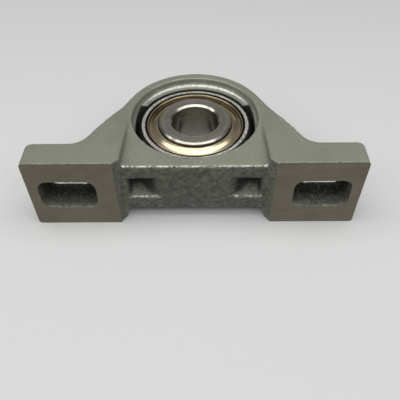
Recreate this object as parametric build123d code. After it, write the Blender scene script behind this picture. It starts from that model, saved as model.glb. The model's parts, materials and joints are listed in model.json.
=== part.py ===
"""Two-bolt pillow block bearing with a self-aligning ball insert.

The unit lies on the side of its feet, so the shaft axis is +Z.
Origin: centre of the spherical seat, on the shaft axis.
+X runs along the base, +Y points from the base towards the arch, so the
machined base faces look along -Y.  All sizes are in millimetres.
"""

import os
from math import acos, asin, atan2, cos, hypot, sin, sqrt

from build123d import *

# ---------------------------------------------------------------- housing
BASE_LENGTH = 104.0  # 4 3/32 in overall, along the base
BASE_WIDTH = 27.0  # 1 1/16 in, width of the feet along the shaft
CENTRE_HEIGHT = 27.8  # 1 3/32 in, base to shaft axis
FOOT_THICKNESS = 9.6
FOOT_END_RADIUS = 2.2  # top corner at each end of the base
FOOT_EDGE_RADIUS = 0.9  # cast edge round the sides and ends of the feet
FOOT_CROWN = 1.0  # draft: the back of each foot rises to the middle plane
FOOT_CROWN_EDGE = 0.6  # flat left round the crown
FOOT_CROWN_END = 0.8  # run of the crown's sloping end
SLOT_END_WALL = 3.55  # slot to end of base; the slots are 79.4 (3 1/8 in) apart
SLOT_LENGTH = 17.5
SLOT_WIDTH = 11.1  # takes a 3/8 in bolt
SLOT_CORNER_RADIUS = 3.0
SLOT_DRAFT = 0.6  # a slot's walls close in by this from the base to the back of the foot
ARCH_RADIUS = 24.5
FLANK_FOOT_HALF_SPAN = 35.2  # where each flank would meet the top of its foot
FLANK_FILLET = 6.0
HEAD_WIDTH = 19.3  # thickness of the arch along the shaft
RELIEF_HALF_SPAN = 24.4  # half the gap between the two machined pads
RELIEF_DEPTH = 2.5  # how far the middle stands clear of the base plane
RELIEF_WALL_RUN = 2.0  # sideways run of the slanted wall beside each pad
PANEL_HALF_WIDTH_BASE = 22.6  # sunk middle panel, at the base
PANEL_HALF_WIDTH_RIM = 21.9  # and where it dies into the rim
PANEL_END_HEIGHT = 26.5  # height above the base at which the step dies out
WING_FLAT_HALF_SPAN = 36.3  # outside this the wings are as wide as the feet
POCKET_DEPTH = 3.4  # scoops in the relieved underside
POCKET_HALF_HEIGHT = 4.25
POCKET_END_WALL = 1.0  # scoop to the foot of the slanted wall
POCKET_INNER_X = 10.9
POCKET_INNER_RAMP = 6.0  # run of its long slope, towards the middle
POCKET_OUTER_RAMP = 1.5  # and of the short one
CAST_EDGE_RADIUS = 0.8  # front edges of the sunk panel and the foot of the walls

# ---------------------------------------------------------------- seat
INSERT_DIAMETER = 40.0  # spherical outside of the insert
SEAT_CLEARANCE = 0.04  # on the radius
SEAT_OVERHANG = 0.1  # seat past the end faces of the outer ring
COUNTERBORE_GAP = 1.4  # counterbore past the insert, on the radius
COUNTERBORE_DEPTH = 3.25  # down to the corner that the cove rounds
LEDGE_FILLET = 2.0
NOTCH_HALF_HEIGHT = 9.4  # loading notches, left and right of the seat
NOTCH_CLEARANCE = 0.4  # outside the insert, on the middle line
NOTCH_END_REACH = 19.1  # half span at the notches' ends

# ---------------------------------------------------------------- insert
BORE_DIAMETER = 15.875  # 5/8 in shaft
OUTER_RING_WIDTH = 12.0
OUTER_EDGE_CHAMFER = 1.0
OUTER_RING_WALL = 3.8  # spherical outside to the land beside the raceway
INNER_RING_DIAMETER = 24.6
INNER_SHORT_SIDE = 7.4  # from the ball centre to the plain end
INNER_LONG_SIDE = 13.3  # from the ball centre to the set screw end
INNER_BORE_CHAMFER = 0.6
INNER_EDGE_CHAMFER = 0.5
BALL_DIAMETER = 6.747  # 17/64 in
BALL_COUNT = 8
BALL_CLEARANCE = 0.04
RACEWAY_RELIEF = 0.135  # raceway radius less ball radius

# ---------------------------------------------------------------- cage
CAGE_SHEET = 0.5
CAGE_LAND_GAP = 0.6  # to the land of either ring
POCKET_CLEARANCE = 0.12
RIVET_DIAMETER = 1.2
RIVET_HEAD_DIAMETER = 2.0
RIVET_HEAD_HEIGHT = 0.4

# ---------------------------------------------------------------- seals
SHIELD_SHEET = 0.4
SHIELD_FROM_CAGE = 0.85  # cage to the ledge that carries the shield
SHIELD_LEDGE = 0.75  # width of that ledge, from the land out to the mouth
SHIELD_GROOVE_DEPTH = 0.3
SHIELD_GROOVE_WIDTH = 0.45
SHIELD_FIT = 0.05
BEAD_FROM_LAND = 0.05  # crest of the rolled bead, inside the land
BEAD_HALF_WIDTH = 0.45
BEAD_RISE = 1.09  # crest over the ledge
BEAD_BEND = 0.18
VALLEY_FROM_LAND = 0.7  # outer side of the valley inside the bead
VALLEY_WIDTH = 1.0
VALLEY_DROP = 0.15  # below the top of the rim
VALLEY_BEND = 0.3
CONE_RISE = 0.88  # from the valley up to the inner edge
SHIELD_GAP = 0.45  # inner edge to the inner ring
LIP_THICKNESS = 0.2
LIP_CLEARANCE = 0.1

# ---------------------------------------------------------------- set screws
SCREW_DIAMETER = 4.76  # no. 10
SCREW_CLEARANCE = 0.03
SCREW_FROM_END = 3.5  # hole centre to the end of the inner ring
SCREW_SOCKET = 2.4  # across flats
SCREW_SOCKET_DEPTH = 2.0
SCREW_POINT_DIAMETER = 2.6
SCREW_RECESS = 0.15  # below the outside of the inner ring
SCREW_BACK_OFF = 0.3  # point to the bore
SCREW_ANGLES = (30.0, 150.0)  # 120 degrees apart, on the arch side

# ---------------------------------------------------------------- derived
BASE_Y = -CENTRE_HEIGHT
FOOT_TOP_Y = BASE_Y + FOOT_THICKNESS
RELIEF_Y = BASE_Y + RELIEF_DEPTH
RELIEF_FOOT_X = RELIEF_HALF_SPAN - RELIEF_WALL_RUN
HALF_LENGTH = BASE_LENGTH / 2
HALF_WIDTH = BASE_WIDTH / 2
HALF_HEAD = HEAD_WIDTH / 2
HALF_RING = OUTER_RING_WIDTH / 2
SLOT_X = HALF_LENGTH - SLOT_END_WALL - SLOT_LENGTH / 2

INSERT_RADIUS = INSERT_DIAMETER / 2
SEAT_RADIUS = INSERT_RADIUS + SEAT_CLEARANCE
SEAT_HALF_WIDTH = HALF_RING + SEAT_OVERHANG
COUNTERBORE_RADIUS = INSERT_RADIUS + COUNTERBORE_GAP

BORE_RADIUS = BORE_DIAMETER / 2
BALL_RADIUS = BALL_DIAMETER / 2
GROOVE_RADIUS = BALL_RADIUS + RACEWAY_RELIEF
INNER_RADIUS = INNER_RING_DIAMETER / 2
OUTER_LAND_RADIUS = INSERT_RADIUS - OUTER_RING_WALL
PITCH_RADIUS = (INNER_RADIUS + OUTER_LAND_RADIUS) / 2
OUTER_GROOVE_BOTTOM = PITCH_RADIUS + BALL_RADIUS + BALL_CLEARANCE
INNER_GROOVE_BOTTOM = PITCH_RADIUS - BALL_RADIUS - BALL_CLEARANCE

CAGE_INNER_RADIUS = INNER_RADIUS + CAGE_LAND_GAP
CAGE_OUTER_RADIUS = OUTER_LAND_RADIUS - CAGE_LAND_GAP
CUP_RADIUS = BALL_RADIUS + POCKET_CLEARANCE
CAGE_HALF_HEIGHT = CUP_RADIUS + CAGE_SHEET

LEDGE_Z = CAGE_HALF_HEIGHT + SHIELD_FROM_CAGE
MOUTH_RADIUS = OUTER_LAND_RADIUS + SHIELD_LEDGE
SHIELD_INNER_RADIUS = INNER_RADIUS + SHIELD_GAP
VALLEY_RADIUS = OUTER_LAND_RADIUS - VALLEY_FROM_LAND
VALLEY_Z = LEDGE_Z + SHIELD_SHEET - VALLEY_DROP
CONE_FOOT_RADIUS = VALLEY_RADIUS - VALLEY_WIDTH
CONE_SLOPE = CONE_RISE / (CONE_FOOT_RADIUS - SHIELD_INNER_RADIUS)

SCREW_Z = SCREW_FROM_END - INNER_LONG_SIDE
SCREW_OUTER_END = INNER_RADIUS - SCREW_RECESS
SCREW_LENGTH = SCREW_OUTER_END - BORE_RADIUS - SCREW_BACK_OFF
MARGIN = 5.0  # how far cutting tools run past what they cut
HAIR = 0.01  # two heights closer than this are taken as one


def on_half_plane(*points):
    """Turn (radius, height) pairs into points of the XZ half plane."""
    return [(radius, 0, height) for radius, height in points]


def revolved(line):
    """Closed line in the XZ half plane, turned about the shaft axis."""
    return revolve(make_face(line), Axis.Z, 360)


def mirrored(shape):
    """The shape and its copy on the other side of the middle plane."""
    return shape + mirror(shape, Plane.XY)


# ---------------------------------------------------------------- housing
def flank_touch_point():
    """Where the straight right flank runs into the arch."""
    reach = hypot(FLANK_FOOT_HALF_SPAN, FOOT_TOP_Y)
    angle = atan2(FOOT_TOP_Y, FLANK_FOOT_HALF_SPAN) + acos(ARCH_RADIUS / reach)
    return ARCH_RADIUS * cos(angle), ARCH_RADIUS * sin(angle)


def housing_outline():
    """Front view of the casting, without slots: feet, flanks and arch."""
    touch_x, touch_y = flank_touch_point()
    corners = [
        (0, RELIEF_Y),
        (RELIEF_FOOT_X, RELIEF_Y),
        (RELIEF_HALF_SPAN, BASE_Y),
        (HALF_LENGTH, BASE_Y),
        (HALF_LENGTH, FOOT_TOP_Y),
        (FLANK_FOOT_HALF_SPAN, FOOT_TOP_Y),
        (touch_x, touch_y),
    ]
    radii = [CAST_EDGE_RADIUS, 0, 0, FOOT_END_RADIUS, FLANK_FILLET]
    right = FilletPolyline(*corners, radius=radii)
    arch = ThreePointArc((touch_x, touch_y), (0, ARCH_RADIUS), (-touch_x, touch_y))
    return make_face(right + arch + mirror(right, Plane.YZ))


def side_cut(y_low, low_line, y_high, high_line):
    """What lies over a twisted wing face: a loft from one (x, z) line to another."""
    top = HALF_WIDTH + MARGIN
    sections = []
    for y, line in ((y_low, low_line), (y_high, high_line)):
        (inner_x, _), (outer_x, _) = line
        outline = line + [(outer_x, top), (inner_x, top)]
        sections.append(make_face(Polyline(*[(x, y, z) for x, z in outline], close=True)))
    return loft(sections, ruled=True)


def face_relief():
    """What is taken off one side of the casting: sunk panel, wings and arch."""
    step_end_y = BASE_Y + PANEL_END_HEIGHT
    touch_x, touch_y = flank_touch_point()
    flat_x = WING_FLAT_HALF_SPAN
    at_base = [(PANEL_HALF_WIDTH_BASE, HALF_WIDTH), (flat_x, HALF_WIDTH)]
    at_step_end = [(PANEL_HALF_WIDTH_RIM, HALF_HEAD), (flat_x, HALF_WIDTH)]
    at_arch = [(touch_x, HALF_HEAD), (flat_x, HALF_HEAD)]
    wing = side_cut(BASE_Y, at_base, step_end_y, at_step_end)
    wing += side_cut(step_end_y, at_step_end, touch_y, at_arch)
    panel = Polyline(
        (0, BASE_Y),
        (PANEL_HALF_WIDTH_BASE, BASE_Y),
        (PANEL_HALF_WIDTH_RIM, step_end_y),
        (touch_x, touch_y),
        (0, touch_y),
        close=True,
    )
    right = wing + Pos(0, 0, HALF_HEAD) * extrude(make_face(panel), HALF_WIDTH)
    arch = Box(2 * flat_x, ARCH_RADIUS, HALF_WIDTH, align=(Align.CENTER, Align.MIN, Align.MIN))
    return right + mirror(right, Plane.YZ) + Pos(0, touch_y, HALF_HEAD) * arch


def panel_front_edges(body):
    """Edges where the sunk panels meet the relieved underside."""
    edges = []
    for edge in body.edges():
        middle = edge.position_at(0.5)
        level = max(abs(abs(edge.position_at(end).Z) - HALF_HEAD) for end in (0, 0.5, 1))
        if level < HAIR and middle.Y < RELIEF_Y + HAIR:
            edges.append(edge)
    return edges


def seat_cut():
    """Spherical seat with a counterbore on each side, as one turned cut."""
    edge_radius = sqrt(SEAT_RADIUS**2 - SEAT_HALF_WIDTH**2)
    wall_foot = HALF_HEAD - COUNTERBORE_DEPTH
    tilt = asin(SEAT_HALF_WIDTH / SEAT_RADIUS)
    mid = (SEAT_RADIUS * cos(tilt / 2), SEAT_RADIUS * sin(tilt / 2))
    seat = ThreePointArc(*on_half_plane((SEAT_RADIUS, 0), mid, (edge_radius, SEAT_HALF_WIDTH)))
    wall = FilletPolyline(
        *on_half_plane(
            (edge_radius, SEAT_HALF_WIDTH),
            (COUNTERBORE_RADIUS, wall_foot),
            (COUNTERBORE_RADIUS, HALF_HEAD + MARGIN),
            (0, HALF_HEAD + MARGIN),
        ),
        radius=[LEDGE_FILLET, 0],
    )
    back = Polyline(*on_half_plane((0, HALF_HEAD + MARGIN), (0, 0), (SEAT_RADIUS, 0)))
    return mirrored(revolved(seat + wall + back))


def notch_cut():
    """Loading notches left and right, from the front face to the middle plane."""
    middle = INSERT_RADIUS + NOTCH_CLEARANCE
    upper = Line((-NOTCH_END_REACH, NOTCH_HALF_HEIGHT), (NOTCH_END_REACH, NOTCH_HALF_HEIGHT))
    right = ThreePointArc(
        (NOTCH_END_REACH, NOTCH_HALF_HEIGHT),
        (middle, 0),
        (NOTCH_END_REACH, -NOTCH_HALF_HEIGHT),
    )
    lower = mirror(upper, Plane.XZ)
    left = mirror(right, Plane.YZ)
    return extrude(make_face(upper + right + lower + left), HALF_HEAD, dir=(0, 0, 1))


def underside_scoop():
    """One scooped hollow in the relieved underside: a trough with a ramp at each end."""
    radius = (POCKET_HALF_HEIGHT**2 + POCKET_DEPTH**2) / (2 * POCKET_DEPTH)
    floor_y = RELIEF_Y + POCKET_DEPTH
    outer_x = RELIEF_FOOT_X - POCKET_END_WALL
    length = outer_x - POCKET_INNER_X
    trough = Rot(0, 90, 0) * Cylinder(radius, length, align=(Align.CENTER, Align.CENTER, Align.MIN))
    ramps = Polyline(
        (POCKET_INNER_X, RELIEF_Y - MARGIN),
        (POCKET_INNER_X, RELIEF_Y),
        (POCKET_INNER_X + POCKET_INNER_RAMP, floor_y),
        (outer_x - POCKET_OUTER_RAMP, floor_y),
        (outer_x, RELIEF_Y),
        (outer_x, RELIEF_Y - MARGIN),
        close=True,
    )
    return Pos(POCKET_INNER_X, floor_y - radius, 0) * trough & extrude(make_face(ramps), radius, both=True)


def slot_outline(y):
    """A slot's rounded rectangle at one depth of the foot, as a face across Y."""
    inset = SLOT_DRAFT * (y - BASE_Y) / FOOT_THICKNESS
    outline = RectangleRounded(
        SLOT_LENGTH - 2 * inset,
        SLOT_WIDTH - 2 * inset,
        SLOT_CORNER_RADIUS - inset,
    )
    return Pos(SLOT_X, y, 0) * Rot(90, 0, 0) * outline


def slot_cut():
    """One mounting slot, right through the foot and its crown."""
    return loft([slot_outline(BASE_Y - MARGIN), slot_outline(FOOT_TOP_Y + MARGIN)], ruled=True)


def foot_crown():
    """Shallow hipped crown on the back of the right foot."""
    root_y = FOOT_TOP_Y - FOOT_CROWN
    ridge_y = FOOT_TOP_Y + FOOT_CROWN
    half = HALF_WIDTH - FOOT_EDGE_RADIUS - FOOT_CROWN_EDGE
    inner_x = FLANK_FOOT_HALF_SPAN - 2 * FOOT_CROWN
    outer_x = HALF_LENGTH - FOOT_END_RADIUS - FOOT_CROWN_EDGE
    across = Polyline(
        (0, root_y, -half),
        (0, FOOT_TOP_Y, -half),
        (0, ridge_y, 0),
        (0, FOOT_TOP_Y, half),
        (0, root_y, half),
        close=True,
    )
    along = Polyline(
        (inner_x, root_y),
        (inner_x, ridge_y),
        (outer_x - FOOT_CROWN_END, ridge_y),
        (outer_x, FOOT_TOP_Y),
        (outer_x, root_y),
        close=True,
    )
    roof = extrude(make_face(across), HALF_LENGTH, dir=(1, 0, 0))
    return roof & extrude(make_face(along), HALF_WIDTH, both=True)


def make_housing():
    body = extrude(housing_outline(), HALF_WIDTH, both=True)
    ends = body.edges().filter_by(Axis.Y).group_by(Axis.X)
    body = fillet(ends[0] + ends[-1], FOOT_EDGE_RADIUS)
    crown = foot_crown()
    body += crown
    body += mirror(crown, Plane.YZ)
    relief = face_relief()
    body -= relief
    body -= mirror(relief, Plane.XY)
    body = fillet(panel_front_edges(body), CAST_EDGE_RADIUS)
    body -= seat_cut()
    body -= notch_cut()
    scoop = underside_scoop()
    body -= scoop
    body -= mirror(scoop, Plane.YZ)
    slot = slot_cut()
    body -= slot
    body -= mirror(slot, Plane.YZ)
    return body


# ---------------------------------------------------------------- rings
def groove_edge_height(land_radius, groove_centre):
    """Half the width of a raceway where it breaks through its land."""
    return sqrt(GROOVE_RADIUS**2 - (land_radius - groove_centre) ** 2)


def make_outer_ring():
    """Ring with a spherical outside, a raceway and a shield groove each side."""
    chamfer_z = HALF_RING - OUTER_EDGE_CHAMFER
    chamfer_radius = sqrt(INSERT_RADIUS**2 - chamfer_z**2)
    groove_radius = MOUTH_RADIUS + SHIELD_GROOVE_DEPTH
    groove_top = LEDGE_Z + SHIELD_GROOVE_WIDTH
    land_z = groove_edge_height(OUTER_LAND_RADIUS, OUTER_GROOVE_BOTTOM - GROOVE_RADIUS)
    outside = ThreePointArc(
        *on_half_plane(
            (chamfer_radius, -chamfer_z), (INSERT_RADIUS, 0), (chamfer_radius, chamfer_z)
        )
    )
    front = Polyline(
        *on_half_plane(
            (chamfer_radius, chamfer_z),
            (chamfer_radius - OUTER_EDGE_CHAMFER, HALF_RING),
            (MOUTH_RADIUS, HALF_RING),
            (MOUTH_RADIUS, groove_top),
            (groove_radius, groove_top),
            (groove_radius, LEDGE_Z),
            (OUTER_LAND_RADIUS, LEDGE_Z),
            (OUTER_LAND_RADIUS, land_z),
        )
    )
    raceway = ThreePointArc(
        *on_half_plane(
            (OUTER_LAND_RADIUS, land_z), (OUTER_GROOVE_BOTTOM, 0), (OUTER_LAND_RADIUS, -land_z)
        )
    )
    return revolved(outside + front + raceway + mirror(front, Plane.XY))


def make_inner_ring():
    """Ring with a raceway, a long locking end and two tapped holes in it."""
    land_z = groove_edge_height(INNER_RADIUS, INNER_GROOVE_BOTTOM + GROOVE_RADIUS)
    raceway = ThreePointArc(
        *on_half_plane((INNER_RADIUS, land_z), (INNER_GROOVE_BOTTOM, 0), (INNER_RADIUS, -land_z))
    )
    rest = Polyline(
        *on_half_plane(
            (INNER_RADIUS, -land_z),
            (INNER_RADIUS, -INNER_LONG_SIDE + INNER_EDGE_CHAMFER),
            (INNER_RADIUS - INNER_EDGE_CHAMFER, -INNER_LONG_SIDE),
            (BORE_RADIUS + INNER_BORE_CHAMFER, -INNER_LONG_SIDE),
            (BORE_RADIUS, -INNER_LONG_SIDE + INNER_BORE_CHAMFER),
            (BORE_RADIUS, INNER_SHORT_SIDE - INNER_BORE_CHAMFER),
            (BORE_RADIUS + INNER_BORE_CHAMFER, INNER_SHORT_SIDE),
            (INNER_RADIUS - INNER_EDGE_CHAMFER, INNER_SHORT_SIDE),
            (INNER_RADIUS, INNER_SHORT_SIDE - INNER_EDGE_CHAMFER),
            (INNER_RADIUS, land_z),
        )
    )
    ring = revolved(raceway + rest)
    hole = Cylinder(
        SCREW_DIAMETER / 2 + SCREW_CLEARANCE,
        INNER_RADIUS + MARGIN,
        align=(Align.CENTER, Align.CENTER, Align.MIN),
    )
    for angle in SCREW_ANGLES:
        ring -= Pos(0, 0, SCREW_Z) * Rot(0, 0, angle) * Rot(0, 90, 0) * hole
    return ring


# ---------------------------------------------------------------- balls, cage
def ball_places():
    return PolarLocations(PITCH_RADIUS, BALL_COUNT)


def rivet_places():
    return PolarLocations(PITCH_RADIUS, BALL_COUNT, start_angle=180 / BALL_COUNT)


def make_cage_half():
    """Front half of the pressed ribbon cage: flat webs between ball cups."""
    height = CAGE_HALF_HEIGHT
    web = Pos(0, 0, CAGE_SHEET / 2) * Cylinder(CAGE_OUTER_RADIUS, CAGE_SHEET)
    cups = Part() + [place * Sphere(height) for place in ball_places()]
    band = Cylinder(CAGE_OUTER_RADIUS, height, align=(Align.CENTER, Align.CENTER, Align.MIN))
    band -= Cylinder(CAGE_INNER_RADIUS, 2 * height + MARGIN)
    half = (web + cups) & band
    half -= [place * Sphere(CUP_RADIUS) for place in ball_places()]
    half -= [place * Cylinder(RIVET_DIAMETER / 2, 2 * height) for place in rivet_places()]
    return half


def make_rivets():
    """Rivets that hold the two halves of the cage, one between each two balls."""
    shank = Cylinder(RIVET_DIAMETER / 2, 2 * CAGE_SHEET)
    head = Pos(0, 0, CAGE_SHEET + RIVET_HEAD_HEIGHT / 2) * Cylinder(
        RIVET_HEAD_DIAMETER / 2, RIVET_HEAD_HEIGHT
    )
    rivet = shank + head + mirror(head, Plane.XY)
    return Compound(children=[place * rivet for place in rivet_places()])


# ---------------------------------------------------------------- seals
def shield_underside(radius):
    """Height of the underside of the shield's cone at a radius."""
    return VALLEY_Z - SHIELD_SHEET + CONE_SLOPE * (CONE_FOOT_RADIUS - radius)


def make_shield():
    """Pressed shield: a rim in the ring's groove, a rolled bead, a valley and a raised cone."""
    rim_radius = MOUTH_RADIUS + SHIELD_GROOVE_DEPTH - SHIELD_FIT
    rim_top = LEDGE_Z + SHIELD_SHEET
    crest = OUTER_LAND_RADIUS - BEAD_FROM_LAND
    crest_z = LEDGE_Z + BEAD_RISE
    half_sheet = SHIELD_SHEET / 2
    inner_z = shield_underside(SHIELD_INNER_RADIUS)
    upper = FilletPolyline(
        *on_half_plane(
            (rim_radius, rim_top),
            (crest + BEAD_HALF_WIDTH, rim_top),
            (crest + half_sheet, crest_z),
            (crest - half_sheet, crest_z),
            (VALLEY_RADIUS, VALLEY_Z),
            (CONE_FOOT_RADIUS, VALLEY_Z),
            (SHIELD_INNER_RADIUS, inner_z + SHIELD_SHEET),
        ),
        radius=[BEAD_BEND / 2, BEAD_BEND, BEAD_BEND, VALLEY_BEND, VALLEY_BEND],
    )
    lower = Polyline(
        *on_half_plane(
            (SHIELD_INNER_RADIUS, inner_z + SHIELD_SHEET),
            (SHIELD_INNER_RADIUS, inner_z),
            (CONE_FOOT_RADIUS, VALLEY_Z - SHIELD_SHEET),
            (VALLEY_RADIUS + half_sheet, VALLEY_Z - SHIELD_SHEET),
            (crest, crest_z - 2 * SHIELD_SHEET),
            (crest + BEAD_HALF_WIDTH - half_sheet, LEDGE_Z),
            (rim_radius, LEDGE_Z),
            (rim_radius, rim_top),
        )
    )
    return revolved(upper + lower)


def make_lip_seal():
    """Rubber bonded under the shield's valley and cone, with its lip just off the inner ring."""
    lip = INNER_RADIUS + LIP_CLEARANCE
    bond_z = VALLEY_Z - SHIELD_SHEET
    section = Polyline(
        *on_half_plane(
            (lip, shield_underside(lip) - LIP_THICKNESS),
            (CONE_FOOT_RADIUS, bond_z - LIP_THICKNESS),
            (VALLEY_RADIUS, bond_z - LIP_THICKNESS),
            (VALLEY_RADIUS, bond_z),
            (CONE_FOOT_RADIUS, bond_z),
            (SHIELD_INNER_RADIUS, shield_underside(SHIELD_INNER_RADIUS)),
            (lip, shield_underside(lip)),
        ),
        close=True,
    )
    return revolved(section)


# ---------------------------------------------------------------- set screws
def make_set_screw(angle):
    """Socket set screw with a cup point, backed off so that the bore is clear."""
    radius = SCREW_DIAMETER / 2
    body = Cylinder(radius, SCREW_LENGTH, align=(Align.CENTER, Align.CENTER, Align.MIN))
    tip = body.edges().group_by(Axis.Z)[0]
    body = chamfer(tip, radius - SCREW_POINT_DIAMETER / 2)
    hexagon = RegularPolygon(SCREW_SOCKET / 2, 6, major_radius=False)
    socket = extrude(hexagon, SCREW_SOCKET_DEPTH)
    body -= Pos(0, 0, SCREW_LENGTH - SCREW_SOCKET_DEPTH) * socket
    place = Pos(0, 0, SCREW_Z) * Rot(0, 0, angle) * Rot(0, 90, 0)
    return place * Pos(0, 0, SCREW_OUTER_END - SCREW_LENGTH) * body


def make_parts():
    """All pieces of the unit, by name."""
    cage_half = make_cage_half()
    shield = make_shield()
    lip_seal = make_lip_seal()
    parts = {
        "housing": make_housing(),
        "outer_ring": make_outer_ring(),
        "inner_ring": make_inner_ring(),
        "cage_front_half": cage_half,
        "cage_back_half": mirror(cage_half, Plane.XY),
        "cage_rivets": make_rivets(),
        "front_shield": shield,
        "back_shield": mirror(shield, Plane.XY),
        "front_lip_seal": lip_seal,
        "back_lip_seal": mirror(lip_seal, Plane.XY),
    }
    for number, place in enumerate(ball_places(), start=1):
        parts[f"ball_{number}"] = place * Sphere(BALL_RADIUS)
    for number, angle in enumerate(SCREW_ANGLES, start=1):
        parts[f"set_screw_{number}"] = make_set_screw(angle)
    return parts


os.makedirs("parts", exist_ok=True)
for node, shape in make_parts().items():
    export_step(shape, f"parts/{node}.step")
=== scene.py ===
"""Pillow block bearing: the looks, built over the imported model.

All lengths are in metres.  The shaft axis is +Z, the base runs along X and the
machined base faces look along -Y, so the unit lies on the sides of its feet.
"""
import json
from math import cos, pi, radians, sin, tan

import bmesh
import bpy
import numpy as np
from bpy.props import FloatProperty, FloatVectorProperty, IntProperty, PointerProperty
from mathutils import Color, Matrix, Vector, noise

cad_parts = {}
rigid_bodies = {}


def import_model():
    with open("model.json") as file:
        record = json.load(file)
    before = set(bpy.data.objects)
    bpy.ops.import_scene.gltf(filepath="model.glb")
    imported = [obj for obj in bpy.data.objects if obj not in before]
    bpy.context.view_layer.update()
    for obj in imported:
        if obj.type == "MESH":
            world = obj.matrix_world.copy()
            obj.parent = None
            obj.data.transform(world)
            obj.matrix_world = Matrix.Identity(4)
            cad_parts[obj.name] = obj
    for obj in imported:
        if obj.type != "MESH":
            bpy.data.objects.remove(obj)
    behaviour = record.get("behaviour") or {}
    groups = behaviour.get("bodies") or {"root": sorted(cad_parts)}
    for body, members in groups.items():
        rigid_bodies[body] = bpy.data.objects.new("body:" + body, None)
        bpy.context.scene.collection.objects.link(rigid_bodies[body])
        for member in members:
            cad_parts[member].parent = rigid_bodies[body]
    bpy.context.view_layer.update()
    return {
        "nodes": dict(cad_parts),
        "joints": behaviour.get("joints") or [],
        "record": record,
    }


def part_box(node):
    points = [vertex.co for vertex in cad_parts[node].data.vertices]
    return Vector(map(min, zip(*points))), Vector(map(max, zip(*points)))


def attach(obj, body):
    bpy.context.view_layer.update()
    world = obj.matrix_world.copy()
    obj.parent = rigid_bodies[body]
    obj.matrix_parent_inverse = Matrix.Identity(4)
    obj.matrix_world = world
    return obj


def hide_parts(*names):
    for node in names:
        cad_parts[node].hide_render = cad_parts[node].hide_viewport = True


bl_info = {
    "name": "Pillow Block Bearing",
    "version": (1, 0, 0),
    "blender": (4, 5, 0),
    "location": "View3D > Sidebar > Pillow Block",
    "description": "Cast housing, bearing insert, finishes and a small studio",
    "category": "Object",
}

for leftover in list(bpy.data.objects):
    bpy.data.objects.remove(leftover, do_unlink=True)
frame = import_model()
NODES = frame["nodes"]
HOUSING_LOW, HOUSING_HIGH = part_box("housing")
FLOOR_LEVEL = HOUSING_LOW.z
BASE_LEVEL = HOUSING_LOW.y
RING_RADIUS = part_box("inner_ring")[1].x
SLOT_BOXES = [opening["box_m"] for opening in frame["record"]["physics"]["openings"]]
MM = 0.001

# Zones of the casting's skin.  Depth is measured up from the base plane, across from
# the shaft axis along X, and level from the middle along Z.  A pair is where a zone
# begins and ends, or where it fades.
UNDERSIDE_DEPTH = (6.5 * MM, 8.0 * MM)
UNDERSIDE_ACROSS = (24.2 * MM, 24.8 * MM)
SCOOP_ACROSS = (8.5 * MM, 22.0 * MM)
SCOOP_LEVEL = 5.6 * MM
SCOOP_TOP = 7.0 * MM
# The slot and scoop zones below are darkened to a sooty black: black iron, and painted shade that
# deepens into the slots and under the scoops' roofs.
SCOOP_SOOT_AND_SHADE_LEVEL = 5.0 * MM
SCOOP_SOOT_AND_SHADE_STARTS = (3.0 * MM, 4.6 * MM)
SCOOP_SOOT_AND_SHADE_ENDS = (6.2 * MM, 6.6 * MM)
SLOT_SOOT_AND_SHADE_DEPTH = (-1.0 * MM, 6.5 * MM)
SAND_FREE_DEPTH = 0.5 * MM
# The boss edge and scoop rim zones below are rubbed bare, with a painted highlight; the rim only on
# the side below the middle, which the light catches.
BOSS_ACROSS = 23.0 * MM
BOSS_EDGE_LEVEL = 8.3 * MM
BOSS_EDGE_DEPTH = 4.5 * MM
RIM_ACROSS = (11.0 * MM, 21.6 * MM)
RIM_DEPTH = (2.3 * MM, 3.5 * MM)
RIM_LEVEL = -4.0 * MM
RIM_FADE = (0.1 * MM, 0.6 * MM)
PAD_EDGE_FADE = (0.05 * MM, 0.45 * MM)

# Parts of a skin normal, and curvatures, at which a look sets in.
WALL_LEAN = 0.6
UNDERSIDE_LEAN = (0.25, 0.75)
ROOF_LEAN = (-0.65, 0.05)
# Leans of the boss's rounded edge that take the painted highlight.
BOSS_EDGE_STARTS = (0.42, 0.56)
BOSS_EDGE_ENDS = (0.88, 0.96)
WORN_BEND = (0.06, 0.16)
HOLLOW_BEND = (0.03, 0.16)
# How strongly the boss edge and a scoop rim take rubbed wear and the painted highlight.
EDGE_RUB_AND_HIGHLIGHT = 1.7
RIM_RUB_AND_HIGHLIGHT = 0.62

# Zones of the turned faces: radii from the shaft axis, heights either way from the middle.
SEAT_HEIGHT = (6.0 * MM, 6.1 * MM)
SEAT_RADIUS = (19.3 * MM, 19.55 * MM)
COVE_HEIGHT = (6.45 * MM, 7.7 * MM)
LIP_HEIGHT = (9.25 * MM, 9.45 * MM)
RING_FACE_RADIUS = (17.15 * MM, 18.2 * MM)
RING_FACE_HEIGHT = (5.9 * MM, 5.97 * MM)
SHIELD_GROOVE_RADIUS = (16.62 * MM, 18.0 * MM)
SHIELD_FOLD_RADIUS = (15.66 * MM, 15.965 * MM)


# ------------------------------------------------------------------ settings
def a_number(label, text, default, **more):
    return FloatProperty(name=label, description=text, default=default, **more)


def a_length(label, text, default, **more):
    return a_number(label, text, default, precision=5, unit="LENGTH", **more)


def a_count(label, text, default):
    return IntProperty(name=label, description=text, default=default, min=0, max=40)


def a_place(label, text, default):
    return FloatVectorProperty(
        name=label, description=text, default=default, size=len(default), precision=5,
        subtype="TRANSLATION", unit="LENGTH",
    )


def a_colour(label, text, default):
    return FloatVectorProperty(
        name=label, description=text, default=default, size=3, min=0, max=1, subtype="COLOR",
    )


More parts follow.
